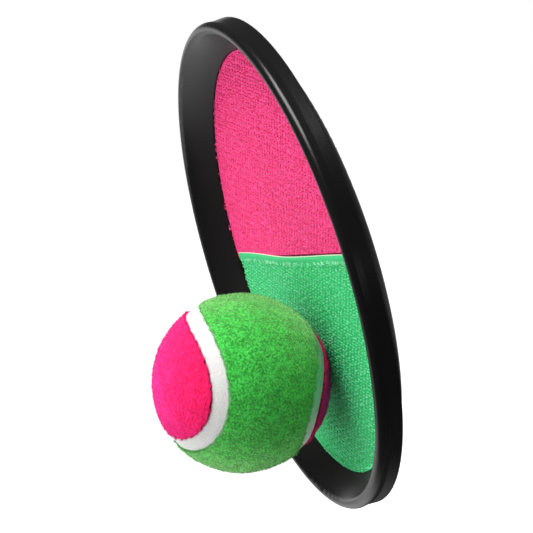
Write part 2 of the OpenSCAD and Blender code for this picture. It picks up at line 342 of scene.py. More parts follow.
# %% Cloth shapes
CLOTH_R, CLOTH_COLUMNS = 82.0, 80
PAD_FRONT, GROUND_FRONT, PILE_FRONT = -3.0, -3.6, -4.2
EDGE_UP, EDGE_LOW, EDGE_LOW_AT = 2.7, 1.35, -12.0
EDGE_RISE_LEFT, EDGE_RISE_RIGHT = 52.0, 74.0
LAP_LOW, LAP_FROM, LAP_RISE = -0.3, -1.8, 1.4
SPARE, BORDER, CURL_FROM, CURL_SLOPE = 0.9, 0.1, 81.0, 1.08
SHORT, SHORT_SHARP, SHORT_EASE, SHORT_EASE_DOWN = 3.4, 6, 0.65, 16
CLOSE_ROWS, WIDE_ROWS = np.linspace(0, 12, 14)[:-1], np.linspace(12, 88.5, 40)
ROUND_TURNS = np.radians(np.concatenate([CLOSE_ROWS, WIDE_ROWS]))


def smooth(x):
    x = np.clip(x, 0, 1)
    return x * x * (3 - 2 * x)


def edge_height(x):
    """Where the green cloth's woven edge lies: lowest a little left of the middle."""
    left, right = (EDGE_LOW_AT - x) / EDGE_RISE_LEFT, (x - EDGE_LOW_AT) / EDGE_RISE_RIGHT
    return EDGE_LOW + (EDGE_UP - EDGE_LOW) * smooth(np.where(x < EDGE_LOW_AT, left, right))


def half_disc(sign, straight):
    """A grid of places on a half disc, from its straight side to its round one."""
    height = CLOTH_R * np.sin(ROUND_TURNS)[:, None]
    x = np.linspace(-1, 1, CLOTH_COLUMNS)[None, :] * CLOTH_R * np.cos(ROUND_TURNS)[:, None]
    share = (1 - height / CLOTH_R) ** 3
    return x, sign * height + share * straight(x)


def spare_cloth(x, z):
    """How far the green cloth goes past its seat: most at the foot, and short of it on the left."""
    far = np.hypot(x, z)
    ease = 1 - SHORT_EASE * smooth(-z / SHORT_EASE_DOWN)
    return SPARE * np.clip(-z / far, 0, 1) - SHORT * np.clip(-x / far, 0, 1) ** SHORT_SHARP * ease


def curl(radius):
    """How far the cloth climbs the cone of the dish at a radius."""
    return CURL_SLOPE * np.clip(radius - CURL_FROM, 0, None)


def cloth_slab(x, z, rise):
    sides = (np.stack([x, level - rise + 0 * x, z], axis=-1) for level in (GROUND_FRONT, PAD_FRONT))
    return slab(*sides)


print("woven edge from", EDGE_LOW, "to", EDGE_UP, "above the middle of the face")

# %% Cloth grounds
WARP_PITCH, WEFT_PITCH, WEFT_SLANT, WEAVE_H, FADED = 0.6, 0.62, 0.2, 0.12, 3
# Where the painted shade along the lap ends above the green cloth's woven edge, its slope and its fade.
LAP_SHADE_TO, LAP_SHADE_SLOPE, LAP_SHADE_FADE = 2.2, 0.02, 0.3


def cloth_finish(name, dark, light, slant, painted_lap_shade=None):
    """Woven ground of two sets of fine threads, perhaps with a dark line of painted shade along the lap."""
    material, place, feed = new_finish(name, roughness=0.75, specular=0.25)
    x, _, z = place.millimetres()
    warp = x.math("SINE", x * (2 * math.pi / WARP_PITCH))
    weft = z.math("SINE", (z + slant * x) * (2 * math.pi / WEFT_PITCH))
    weave = 0.5 + 0.25 * warp + 0.25 * weft
    colour = (weave * (0.6 + 0.8 * place.noise(FADED))).mix(dark, light)
    # Painted shade: a dark line on the ground along the place where the green cloth laps over it.
    if painted_lap_shade:
        colour = (z - LAP_SHADE_SLOPE * x).step(LAP_SHADE_TO, LAP_SHADE_TO + LAP_SHADE_FADE).mix(painted_lap_shade, colour)
    feed("Base Color", colour)
    feed("Normal", place.bump(WEAVE_H * weave))
    return material


# The pink ground carries the painted shade beside the green cloth's lap.
pink_ground = cloth_finish(
    "pink_hook_ground", dark=(0.86, 0.038, 0.21), light=(1.0, 0.07, 0.31), slant=WEFT_SLANT,
    painted_lap_shade=(0.12, 0.004, 0.02),
)
green_ground = cloth_finish(
    "green_hook_ground", dark=(0.036, 0.45, 0.16), light=(0.06, 0.59, 0.21), slant=-WEFT_SLANT,
)

x, z = half_disc(1, lambda x: LAP_LOW + 0 * x)
upper_cloth = add_piece(
    "upper_cloth_ground", *cloth_slab(x, z, 0), pink_ground, "paddle", "pink_hook_cloth",
)
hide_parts("upper_cloth")

x, z = half_disc(-1, edge_height)
wider = 1 + spare_cloth(x, z) / CLOTH_R * smooth((np.hypot(x, z) / CLOTH_R - (1 - BORDER)) / BORDER)
x, z = x * wider, z * wider
rise = (GROUND_FRONT - PILE_FRONT) * smooth((z - LAP_FROM) / LAP_RISE) + curl(np.hypot(x, z))
lower_cloth = add_piece(
    "lower_cloth_ground", *cloth_slab(x, z, rise), green_ground, "paddle", "green_hook_cloth",
)
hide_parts("lower_cloth")
print("cloth grounds of", len(upper_cloth.data.polygons), "and", len(lower_cloth.data.polygons), "faces")

# %% [markdown]
# ## The hooks
#
# A loom leaves the hooks in straight rows, each row a little out of step with the one before, which gives
# the face its slanting grain. A bump could show the grain, but not the rough outline of the pile. So
# every hook is a bent tube of eleven faces: it stands up from the ground and bends over, left and right
# on alternate rows. No two are quite alike, and only a few are light.

# %% Hook places
BUNCH, HOOK_STRAY = 4, (0.65, 0.22)
LATTICE = np.arange(-90, 91)
UPPER_STEPS = np.array([(2.88, -0.58), (-1.16, -1.25)])
LOWER_STEPS = np.array([(4.02, 0.65), (-1.16, -1.25)])
WOVEN_BAND, LAP_CLEAR, UPPER_CLEAR, LOWER_CLEAR = 2.7, 0.9, 0.6, 0.1


def on_upper(x, z):
    return (z > edge_height(x) + LAP_CLEAR) & (np.hypot(x, z) < CLOTH_R - UPPER_CLEAR)


def on_lower(x, z):
    return (z < edge_height(x) - WOVEN_BAND) & (np.hypot(x, z) < CLOTH_R - LOWER_CLEAR + spare_cloth(x, z))


def hook_places(steps, keep):
    """Bunches of hooks on a slanting lattice, and the row that each hook is in."""
    step, row = (v.repeat(BUNCH) for v in np.meshgrid(LATTICE, LATTICE))
    places = step[:, None] * steps[0] + row[:, None] * steps[1]
    x, z = (places + rng.normal(0, HOOK_STRAY, places.shape)).T
    good = keep(x, z)
    return x[good], z[good], row[good]


print("lattice of", BUNCH * len(LATTICE) ** 2, "hooks before it is cut to the cloth")

# %% Hook pile
HOOK_PATH = np.array([(0, -0.1), (0.03, 0.25), (0.2, 0.4), (0.46, 0.32)])
HOOK_RADII = np.array([0.22, 0.22, 0.2, 0.15])
HOOK_SLANT, HOOK_SWAY = -0.4, 0.35
HOOK_TALL, HOOK_REACH = (0.85, 1.1), (0.8, 1.15)
OWN_SHADE, STRAND_CLOUDS = 0.75, 5


def hook_paths(x, z, row):
    """Hooks that bend left and right on alternate rows."""
    count = len(x)
    aim = np.where(row % 2, 0, math.pi) + rng.normal(0, HOOK_SWAY, count) + HOOK_SLANT
    up = HOOK_PATH[:, 1] * rng.uniform(*HOOK_TALL, count)[:, None]
    out = HOOK_PATH[:, 0] * rng.uniform(*HOOK_REACH, count)[:, None]
    return np.stack([
        x[:, None] + out * np.cos(aim)[:, None],
        GROUND_FRONT - curl(np.hypot(x, z))[:, None] - up,
        z[:, None] + out * np.sin(aim)[:, None],
    ], axis=-1)


def strand_finish(name, dark, light, roughness=0.5, specular=0.35, sheen=0.0, rarity=1.0):
    """Strands between two colours: the higher the rarity, the fewer are light."""
    material, place, feed = new_finish(name, roughness, specular, sheen, sheen_tint=light)
    own = place.node("NewGeometry", {}, out="Random Per Island")
    shade = (OWN_SHADE * own + (1 - OWN_SHADE) * place.noise(STRAND_CLOUDS)) ** rarity
    feed("Base Color", shade.mix(dark, light))
    return material


HOOK_SHINE = {"roughness": 0.4, "specular": 0.5, "sheen": 0.2, "rarity": 2.0}
pink_strands = strand_finish("pink_hooks_finish", (0.82, 0.026, 0.155), (1.0, 0.21, 0.52), **HOOK_SHINE)
green_strands = strand_finish("green_hooks_finish", (0.018, 0.77, 0.23), (0.42, 1.0, 0.68), **HOOK_SHINE)
pink_hooks = add_strands(
    "upper_cloth_hooks", hook_paths(*hook_places(UPPER_STEPS, on_upper)), HOOK_RADII,
    pink_strands, "paddle", "pink_hook_cloth",
)
green_hooks = add_strands(
    "lower_cloth_hooks", hook_paths(*hook_places(LOWER_STEPS, on_lower)), HOOK_RADII,
    green_strands, "paddle", "green_hook_cloth",
)

# %% [markdown]
# The woven edge ends in a pale cut thread, and just below the band the first row of loops stands up
# uneven and soft, because the loom starts the pile there. Both could be painted on the ground. As strands
# they stand clear of it, and their small shadows set the two halves apart.

# %% Edge thread
THREAD_INSET, THREAD_POINTS, THREAD_R, THREAD_SIDES = 0.6, 160, 0.24, 8
THREAD_BACK, THREAD_UP = 0.2, 0.05

edge_thread_finish = strand_finish(
    "edge_thread_finish", (0.5, 0.62, 0.42), (0.75, 0.8, 0.6), roughness=0.8,
)
edge_x = np.linspace(-CLOTH_R + THREAD_INSET + SHORT, CLOTH_R - THREAD_INSET, THREAD_POINTS)
edge_path = np.stack(
    [edge_x, 0 * edge_x + PILE_FRONT + THREAD_BACK, edge_height(edge_x) + THREAD_UP], axis=-1,
)
edge_thread = add_strands(
    "lower_cloth_edge_thread", edge_path[None], THREAD_R, edge_thread_finish, "paddle", "green_hook_cloth",
    sides=THREAD_SIDES,
)

# %% Loop row
TUFTS, TUFT_BUNCH, TUFT_INSET, TUFT_R = 95, 5, 1.5, 0.14
TUFT_STRAY_X, TUFT_STRAY_Z, TUFT_DOWN, TUFT_OUT = 0.5, 0.35, 0.1, 0.2
TUFT_SIZES, TUFT_TALL, LOOP_KNOTS = (0.25, 0.45), 1.3, 5


def loop_paths(root, away, turn, size, tall):
    """Half rings that stand on their roots, each turned its own way."""
    span = np.linspace(0, math.pi, LOOP_KNOTS)
    swing = -size * np.cos(span)
    flat = np.stack([swing * np.cos(turn), 0 * swing, swing * np.sin(turn)], axis=-1)
    return root[:, None] + flat + (tall * np.sin(span))[..., None] * away


tuft_finish = strand_finish("loop_row_finish", (0.1, 0.76, 0.33), (0.52, 1.0, 0.68), roughness=0.7)
tuft_x = np.repeat(rng.uniform(-CLOTH_R + TUFT_INSET + SHORT, CLOTH_R - TUFT_INSET, TUFTS), TUFT_BUNCH)
tuft_x = tuft_x + rng.normal(0, TUFT_STRAY_X, len(tuft_x))
tuft_z = edge_height(tuft_x) - WOVEN_BAND - TUFT_DOWN + rng.normal(0, TUFT_STRAY_Z, len(tuft_x))
tuft_turn = rng.uniform(0, math.pi, len(tuft_x))[:, None]
tuft_size = rng.uniform(*TUFT_SIZES, len(tuft_x))[:, None]
tuft_root = np.stack([tuft_x, 0 * tuft_x + GROUND_FRONT - TUFT_OUT, tuft_z], axis=-1)
tufts = loop_paths(tuft_root, np.array([0, -1, 0]), tuft_turn, tuft_size, TUFT_TALL * tuft_size)
loop_row = add_strands(
    "lower_cloth_loop_row", tufts, TUFT_R, tuft_finish, "paddle", "green_hook_cloth",
)

# %% [markdown]
# ## The foam pad
#
# A thin disc of closed cell foam lies between the cloth and the floor of the dish. It shows only through
# the two windows behind the strap bars, so a plain disc with a rounded rim is enough. The cells of the
# foam could be modelled, but at this size a Voronoi texture looks the same and has no faces.

# %% Foam pad
PAD_R, PAD_REAR, PAD_ROUND = 82.0, -2.0, 0.5
PAD_RINGS, PAD_AROUND, PAD_RIM = 24, 96, np.array([0.5, 0.15, 0.0])
FOAM_CELL, FOAM_H = 0.8, 0.15

foam, place, feed = new_finish("dark_foam", roughness=0.9, specular=0.2)
cells = place.node("TexVoronoi", {"Vector": place, "Scale": 1 / (FOAM_CELL * MM)})
feed("Base Color", cells.mix((0.02, 0.02, 0.02), (0.06, 0.06, 0.06)))
feed("Normal", place.bump(FOAM_H * cells))


def disc_faces(rings, around):
    """A closed disc of two layers of rings, with a cap in the middle of each."""
    number = np.arange(rings * around).reshape(rings, around)
    beside = np.roll(number, -1, axis=1)
    front = np.stack([number[:-1], beside[:-1], beside[1:], number[1:]], axis=-1).reshape(-1, 4)
    rear = front[:, ::-1] + number.size
    rim = np.stack([number[-1], beside[-1], beside[-1] + number.size, number[-1] + number.size], axis=-1)
    caps = [number[0, ::-1].tolist(), (number[0] + number.size).tolist()]
    return np.concatenate([front, rear, rim]).tolist() + caps


radius = np.concatenate([np.linspace(1, PAD_R - 1, PAD_RINGS), PAD_R - PAD_RIM])
round_turn = np.linspace(0, 2 * math.pi, PAD_AROUND + 1)[:-1]
ring_x, ring_z = radius[:, None] * np.cos(round_turn), radius[:, None] * np.sin(round_turn)
drop = PAD_ROUND * np.clip((radius - PAD_R + PAD_ROUND) / PAD_ROUND, 0, 1)[:, None] ** 2 + 0 * ring_x
layers = [np.stack([ring_x, level, ring_z], axis=-1) for level in (PAD_FRONT + drop, PAD_REAR - drop)]
face_pad = add_piece(
    "face_pad_foam", np.concatenate(layers).reshape(-1, 3), disc_faces(len(radius), PAD_AROUND),
    foam, "paddle", "pad_foam",
)
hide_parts("face_pad")
print("foam pad", 2 * PAD_R, "across")

# %% [markdown]
# ## The strap
#
# The strap is black webbing in two halves. Each half goes round its bar, turns back under itself and is
# sewn down. A cloth simulation could drape it, but then it would no longer lie where its solid was. The
# paths are the CAD model's own instead: a leg, a shoulder and a shallow crown, worked out from the bar
# and the gap behind the dish.

# %% Strap measures
BAR_AT = np.array([58.0, 2.03])
STRAP_W, STRAP_T, TAPE_T, TAPE_W = 25.0, 1.3, 0.9, 22.0
LOOP_LEN, TAIL_LEN, LEG_SPARE, BORE_R = 8.0, 7.0, 0.9, 2.33
CROWN_R, SHOULDER_R, STRAP_GAP = 300.0, 20.0, 14.0
TAB_END, PULL_LEN, TAPE_GAP = 9.0, 6.0, 0.3
SEWN_TO = LOOP_LEN + TAIL_LEN
TAB_LEG = SEWN_TO + LEG_SPARE
FLAP_LIFT = STRAP_T + 2 * TAPE_T + TAPE_GAP
CROWN_AT = np.array([0, STRAP_GAP - CROWN_R])


def upright(angle):
    """The direction at an angle from upright in the side view: up the dish, then away behind it."""
    return np.stack([np.sin(angle), np.cos(angle)], axis=-1)


def shoulder_at(crown, turn):
    return CROWN_AT + (crown - SHOULDER_R) * upright(turn)


to_bar = BAR_AT - CROWN_AT
bar_far, crown_in = np.hypot(*to_bar), CROWN_R - SHOULDER_R
leg_far = math.hypot(TAB_LEG, SHOULDER_R)
TAB_TURN = math.atan2(*to_bar) - math.acos(
    (bar_far ** 2 + crown_in ** 2 - leg_far ** 2) / (2 * bar_far * crown_in)
)
TAB_SHOULDER = shoulder_at(CROWN_R, TAB_TURN)
LEG_SLOPE = math.atan2(*(BAR_AT - TAB_SHOULDER)) - math.atan2(TAB_LEG, SHOULDER_R)
leg_reach = to_bar @ upright(LEG_SLOPE) - SHOULDER_R
FLAP_TURN = LEG_SLOPE - math.acos(leg_reach / (CROWN_R + FLAP_LIFT - SHOULDER_R))
FLAP_SHOULDER = shoulder_at(CROWN_R + FLAP_LIFT, FLAP_TURN)
FLAP_LEG = np.hypot(*(BAR_AT - FLAP_SHOULDER - SHOULDER_R * upright(LEG_SLOPE)))
END_TURN = math.asin(TAB_END / CROWN_R)
print("strap", STRAP_W, "wide; legs slope", round(math.degrees(LEG_SLOPE), 1), "degrees")

# %% Strap paths
ARC_POINTS, LOOP_POINTS = 40, 60


def leg_points(along, lift):
    along, lift = np.broadcast_arrays(np.asarray(along, float), lift)
    down = np.array([-math.cos(LEG_SLOPE), math.sin(LEG_SLOPE)])
    return BAR_AT + along[..., None] * down + lift[..., None] * upright(LEG_SLOPE)


def arc(centre, radius, first, last):
    return centre + radius * upright(np.linspace(first, last, ARC_POINTS))


def tab_line(lift):
    """The tab's arch at a lift off its inner face."""
    return np.concatenate([
        leg_points([TAB_LEG], lift),
        arc(TAB_SHOULDER, SHOULDER_R + lift, LEG_SLOPE, TAB_TURN),
        arc(CROWN_AT, CROWN_R + lift, TAB_TURN, END_TURN),
    ])


def flap_line(lift):
    """The flap's arch, which follows its own shoulder and crown and then the tab's other shoulder."""
    mirror = np.array([-1, 1])
    return np.concatenate([
        leg_points([FLAP_LEG], lift),
        arc(FLAP_SHOULDER, SHOULDER_R + lift, LEG_SLOPE, FLAP_TURN),
        arc(CROWN_AT, CROWN_R + FLAP_LIFT + lift, FLAP_TURN, -TAB_TURN),
        arc(TAB_SHOULDER, SHOULDER_R + FLAP_LIFT + lift, TAB_TURN, LEG_SLOPE) * mirror,
        leg_points([TAB_LEG - PULL_LEN], FLAP_LIFT + lift) * mirror,
    ])


def sewn_loop():
    """Middle line of the webbing from its sewn end round the bar to the leg."""
    middle, radius = STRAP_T / 2, BORE_R + STRAP_T / 2
    leave = math.atan2(middle, LOOP_LEN) + math.acos(radius / math.hypot(LOOP_LEN, middle))
    around = np.linspace(2 * math.pi - leave, leave, LOOP_POINTS)
    return np.concatenate([
        leg_points([SEWN_TO, LOOP_LEN], -middle),
        leg_points(radius * np.cos(around), radius * np.sin(around)),
        leg_points([LOOP_LEN], middle),
    ])


print("tab of", len(tab_line(0)), "points and flap of", len(flap_line(0)))


# %% Lines of the strap
def run_lengths(line):
    """How far each point of a line is along it."""
    return np.concatenate([[0], np.cumsum(np.linalg.norm(np.diff(line, axis=0), axis=1))])


def evened(line, step, soften=2):
    """The same line with its points a step apart and its corners a little softened."""
    far = run_lengths(line)
    at = np.linspace(0, far[-1], int(far[-1] / step))
    line = np.stack([np.interp(at, far, line[:, i]) for i in (0, 1)], axis=-1)
    for _ in range(soften):
        line[1:-1] = (line[:-2] + 2 * line[1:-1] + line[2:]) / 4
    return line, at


def outward(line):
    """Directions across a line in the side view, away from the dish."""
    run = unit(np.gradient(line, axis=0))
    return np.stack([run[:, 1], -run[:, 0]], axis=-1)


def in_frame(x, line, half):
    """Points from places across the strap and a side view: half is 1 above and -1 below."""
    x, up, rear = np.broadcast_arrays(x, line[..., 0] * half, line[..., 1])
    return np.stack([x, rear, up], axis=-1)


print("webbing goes round its bar in", round(run_lengths(sewn_loop())[-1], 1))

# %% [markdown]
# Webbing is woven in slanting ribs that change direction every few millimetres across it. A bump would do
# for a view from afar. Here the ribs are part of the mesh, a height that follows the distance along the
# strap and across it, so they also show on the outline where the strap goes round its bar.

# %% Webbing
RIB_PITCH, RIB_H, RIB_SLANT, CHEVRON_W, WEAVE_STEP = 1.6, 0.07, 0.9, 4.2, 0.32
SELVEDGE, SELVEDGE_T = 0.5, 0.45
YARN, FIBRE, FIBRE_H = 0.8, 0.25, 0.06


def webbing_finish(name, dark, light):
    material, place, feed = new_finish(name, roughness=0.62, specular=0.4)
    feed("Base Color", place.noise(YARN, detail=3).mix(dark, light))
    feed("Normal", place.bump(FIBRE_H * place.noise(FIBRE)))
    return material


webbing = webbing_finish("black_webbing", (0.006, 0.006, 0.0065), (0.022, 0.022, 0.023))


def webbing_half(name, node, body, arch, half):
    """One half of the strap, thinner at its edges, with ribs on both faces."""
    middle, along = evened(np.concatenate([sewn_loop(), arch]), WEAVE_STEP)
    normal = outward(middle)
    x = np.linspace(-STRAP_W / 2, STRAP_W / 2, int(STRAP_W / WEAVE_STEP))
    fold = np.abs((x / CHEVRON_W) % 2 - 1) * CHEVRON_W
    rib = RIB_H * np.sin(2 * math.pi * (along[:, None] + RIB_SLANT * fold) / RIB_PITCH)
    edge = np.clip((STRAP_W / 2 - np.abs(x)) / SELVEDGE, 0, 1)
    body_t = STRAP_T / 2 * (SELVEDGE_T + (1 - SELVEDGE_T) * np.sqrt(edge * (2 - edge))) - RIB_H
    faces = []
    for side in (-half, half):
        height = side * (body_t + rib * edge)
        faces.append(in_frame(x, middle[:, None] + height[..., None] * normal[:, None], half))
    points, quads = slab(*faces)
    piece = add_piece(name, points, quads, webbing, body, "webbing")
    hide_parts(node)
    along[-1] * MM
    print(name, "is", round(along[-1], 1), "of webbing with", len(quads), "faces")


webbing_half("strap_flap_webbing", "strap_flap", "flap", flap_line(STRAP_T / 2), 1)
webbing_half("strap_tab_webbing", "strap_tab", "tab", tab_line(STRAP_T / 2), -1)

# %% [markdown]
# The flap's hook tape and the tab's loop tape are thin woven bands sewn to the webbing. Stiff hooks stand
# on one and soft loops on the other, with a hair of air between them so that the two may turn apart.
# Plain bands would do while the strap is closed. The hooks and loops are there for the open strap, and
# are fewer than real ones.

# %% Tape grounds
TAPE_BASE, TAPE_COLUMNS, TAPE_STEP = 0.45, 40, 0.6
HOOK_ROOT, LOOP_ROOT = FLAP_LIFT - TAPE_BASE, STRAP_T + TAPE_BASE
TAPE_DARK, TAPE_LIGHT = (0.012, 0.012, 0.013), (0.03, 0.03, 0.031)


def tape_base(name, node, body, low, high, finish, slot):
    x = np.linspace(-TAPE_W / 2, TAPE_W / 2, TAPE_COLUMNS)
    layers = [in_frame(x, evened(tab_line(lift), TAPE_STEP)[0][:, None], -1) for lift in (high, low)]
    rows = min(len(layer) for layer in layers)
    even = [layer[np.linspace(0, len(layer) - 1, rows).round().astype(int)] for layer in layers]
    piece = add_piece(name, *slab(*even), finish, body, slot)
    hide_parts(node)


hook_ground = webbing_finish("hook_tape_ground", TAPE_DARK, TAPE_LIGHT)
loop_ground = webbing_finish("loop_tape_ground", TAPE_DARK, TAPE_LIGHT)
tape_base("hook_patch_ground", "hook_patch", "flap", HOOK_ROOT, FLAP_LIFT, hook_ground, "hook_tape")
tape_base("loop_patch_ground", "loop_patch", "tab", STRAP_T, LOOP_ROOT, loop_ground, "loop_tape")

# %% Tape hooks and loops
ENDS_CLEAR, SIDE_CLEAR_LEFT, SIDE_CLEAR_RIGHT = 2, 1.2, 1
TAPE_HOOK_R, TAPE_HOOK_ROWS, TAPE_HOOK_STRAY = 0.11, (1.35, 1.5), 0.08
TAPE_HOOK_OUT = np.array([0, 0, 0.08, 0.25, 0.4])[:, None]
TAPE_HOOK_UP = np.array([-0.05, 0.2, 0.36, 0.42, 0.32])[:, None]
TAPE_LOOP_R, TAPE_LOOP_ROWS, TAPE_LOOP_STRAY = 0.08, (0.9, 0.9), 0.3
TAPE_LOOP_SIZES, TAPE_LOOP_TALL = (0.25, 0.5), 0.42


def tape_places(lift, pitch, across_pitch, stray):
    """Places in rows over a tape, and the direction away from the dish there."""
    line = evened(tab_line(lift), pitch)[0][ENDS_CLEAR:-ENDS_CLEAR]
    x = np.arange(-TAPE_W / 2 + SIDE_CLEAR_LEFT, TAPE_W / 2 - SIDE_CLEAR_RIGHT, across_pitch)
    root = in_frame(x, line[:, None], -1).reshape(-1, 3)
    away = in_frame(0 * x, outward(line)[:, None], -1).reshape(-1, 1, 3)
    return root + rng.normal(0, stray, root.shape) * np.array([1, 0, 1]), away


tape_hook_finish = strand_finish(
    "tape_hook_finish", (0.015, 0.015, 0.016), (0.05, 0.05, 0.052), roughness=0.4,
)
root, away = tape_places(HOOK_ROOT, *TAPE_HOOK_ROWS, TAPE_HOOK_STRAY)
aim = np.where(np.arange(len(root)) % 2, 1.0, -1.0)[:, None, None] * np.array([1.0, 0, 0])
hooks = root[:, None] + TAPE_HOOK_OUT * aim - TAPE_HOOK_UP * away
add_strands("hook_patch_hooks", hooks, TAPE_HOOK_R, tape_hook_finish, "flap", "hook_tape")

tape_loop_finish = strand_finish(
    "tape_loop_finish", (0.015, 0.015, 0.016), (0.06, 0.06, 0.062), roughness=0.8,
)
root, away = tape_places(LOOP_ROOT, *TAPE_LOOP_ROWS, TAPE_LOOP_STRAY)
turn = rng.uniform(0, 2 * math.pi, len(root))[:, None]
size = rng.uniform(*TAPE_LOOP_SIZES, len(root))[:, None]
loops = loop_paths(root, away, turn, size, TAPE_LOOP_TALL)
add_strands("loop_patch_loops", loops, TAPE_LOOP_R, tape_loop_finish, "tab", "loop_tape")

# %% [markdown]
# Every sewn place is a row of separate stitches: a box with a cross where the webbing is folded back at
# the bar, and a line along each side of a tape, which also comes out on the other face of the webbing.
# Dashes in a texture could stand for them, but thread lies proud of the cloth. So each stitch is a short
# tube that rises out of the cloth and goes back in.

# %% Rows of stitches
STITCH, STITCH_START, STITCH_SPARE, STITCH_GAP = 2.0, 0.2, 0.3, 0.12
STITCH_RISE = np.array([-0.22, 0.02, 0.08, 0.02, -0.22])[:, None]
SEAM_POINTS, SEAM_STEP = 20, 0.5


def stitches(line, side):
    """Stitches along a line of points, on the side that the directions point to."""
    far = run_lengths(line)
    starts = np.arange(STITCH_START, far[-1] - STITCH + STITCH_SPARE, STITCH)
    at = starts[:, None] + np.linspace(STITCH_GAP, STITCH - STITCH_GAP, len(STITCH_RISE))
    points, away = (
        np.stack([np.interp(at, far, values[:, i]) for i in range(3)], axis=-1) for values in (line, side)
    )
    return points + STITCH_RISE * away


def leg_seam(corners, lift, half):
    """A box or cross on the sewn part of a leg, from corners of (across, along)."""
    found = []
    away = in_frame(np.zeros(1), upright(LEG_SLOPE)[None], half) * np.sign(lift)
    for first, last in zip(corners[:-1], corners[1:]):
        across, along = np.linspace(first, last, SEAM_POINTS).T
        line = in_frame(across, leg_points(along, lift), half)
        found.append(stitches(line, away.repeat(SEAM_POINTS, axis=0)))
    return found


def arch_seam(lift, x, sign):
    """A line of stitches along the tab's arch, at a place across it: sign is 1 on its outer face."""
    line, _ = evened(tab_line(lift), SEAM_STEP)
    along = in_frame(np.full(len(line), x), line, -1)
    return stitches(along, in_frame(np.zeros(len(line)), sign * outward(line), -1))


print("a row along the tab has", len(arch_seam(0, 0.0, 1)), "stitches")

# %% Stitches
STITCH_R, STITCH_SIDES, TAPE_SEAM_X = 0.2, 5, 9.8
BOX_X, BOX_LOW, BOX_HIGH = 10.5, 8.8, 14.2

left_low, right_low, right_high, left_high = (
    (-BOX_X, BOX_LOW), (BOX_X, BOX_LOW), (BOX_X, BOX_HIGH), (-BOX_X, BOX_HIGH),
)
box = [left_low, right_low, right_high, left_high, left_low, right_high]
cross = [left_high, right_low]
thread_finish = strand_finish("black_thread_finish", (0.02, 0.02, 0.021), (0.07, 0.07, 0.072), roughness=0.6)
for name, body, half, outer, inner in (
    ("strap_flap_stitches", "flap", 1, FLAP_LIFT + STRAP_T, HOOK_ROOT),
    ("strap_tab_stitches", "tab", -1, LOOP_ROOT, 0),
):
    seams = []
    for lift in (STRAP_T, -STRAP_T):
        seams += leg_seam(box, lift, half) + leg_seam(cross, lift, half)
    for x in (-TAPE_SEAM_X, TAPE_SEAM_X):
        seams += [arch_seam(outer, x, 1), arch_seam(inner, x, -1)]
    add_strands(name, np.concatenate(seams), STITCH_R, thread_finish, body, "webbing", sides=STITCH_SIDES)

# %% [markdown]
# ## The ball
#
# The ball is built as a tennis ball is: two dumbbell shaped felts wrap a rubber core, edge to edge along
# one curve, with a smooth white strip in the seam. The curve could be drawn on a sphere freely. A
# formula with one measure, the waist of a felt, gives both felts and the strip the same edge.

# %% Ball seam
BALL_AT = np.array([0.2, -37.8, -37.2])
BALL_R, FELT_T, STRIP_SINK, STRIP_W, OVERLAP = 33.3, 3.0, 0.6, 7.1, 0.1
BALL_TURN = np.array(Euler([math.radians(v) for v in (-22.8, 23.5, -1.4)], "XYZ").to_matrix())
WAIST = math.radians(69.8)
SEAM_B = (1 - math.sin(WAIST / 2)) / 2
SEAM_A = 1 - SEAM_B
SEAM_C = 2 * math.sqrt(SEAM_A * SEAM_B)
STRIP_HALF = STRIP_W / 2 / BALL_R


def seam_beside(t, angle):
    """A direction beside the seam curve: a positive angle is on the pink side."""
    on = np.stack([
        SEAM_C * np.cos(2 * t),
        SEAM_A * np.cos(t) - SEAM_B * np.cos(3 * t),
        SEAM_A * np.sin(t) + SEAM_B * np.sin(3 * t),
    ], axis=-1)
    run = np.stack([
        -2 * SEAM_C * np.sin(2 * t),
        -SEAM_A * np.sin(t) + 3 * SEAM_B * np.sin(3 * t),
        SEAM_A * np.cos(t) + 3 * SEAM_B * np.cos(3 * t),
    ], axis=-1)
    side = unit(np.cross(run, on))
    angle = np.asarray(angle)[..., None]
    return np.cos(angle) * unit(on) + np.sin(angle) * side


def on_ball(points):
    return points @ BALL_TURN.T + BALL_AT


print("seam waist", round(math.degrees(WAIST), 1), "degrees, strip", STRIP_W, "wide")

# %% [markdown]
# A felt is cut from a flat sheet and stretched over the core. A sphere painted in two colours would be
# lighter, but it would have no edges. So each felt is a sheet of its own: its cut edge is a little ragged
# and rolls down to the strip, and its surface is lumpy. Sheen stands for the finest fuzz, which is pale
# at a flat angle.

# %% Felt shapes
PANEL_ROWS, PANEL_COLUMNS, FELT_ROUND, EDGE_POINTS = 240, 110, 0.5, 900
RAG_WAVES, RAG_DEEP = np.array([27, 53, 83, 113]), 0.15 / BALL_R
RAG_PHASES = rng.uniform(0, 2 * math.pi, len(RAG_WAVES))
LUMP_WAVES = 24
LARGE_LUMP, LARGE_LUMP_H, SMALL_LUMP, SMALL_LUMP_H = 0.09, 0.1, 0.03, 0.05


def lumps(directions, size):
    """A gentle random height on the ball, about 1 at most."""
    waves = rng.normal(0, 1 / size, (LUMP_WAVES, 3))
    phases = rng.uniform(0, 2 * math.pi, LUMP_WAVES)
    return np.sin(directions @ waves.T + phases).sum(axis=-1) / math.sqrt(LUMP_WAVES)


def ragged(t):
    """How the cut edge of a felt strays from the seam."""
    return RAG_DEEP * np.sin(t[:, None] * RAG_WAVES + RAG_PHASES).sum(axis=-1)


def panel_directions(start, angle):
    """A grid of directions over one dumbbell panel."""
    t = start + math.pi * (np.arange(PANEL_ROWS) + 0.25) / (PANEL_ROWS - 0.5)
    left = seam_beside(t, angle + ragged(t))
    right = seam_beside(2 * start - t, angle + ragged(2 * start - t))
    share = 0.5 - 0.5 * np.cos(np.linspace(0, math.pi, PANEL_COLUMNS))
    wide = np.arccos(np.clip((left * right).sum(-1), -1, 1))[:, None]
    first = np.sin((1 - share) * wide) / np.sin(wide)
    second = np.sin(share * wide) / np.sin(wide)
    return unit(first[..., None] * left[:, None] + second[..., None] * right[:, None])


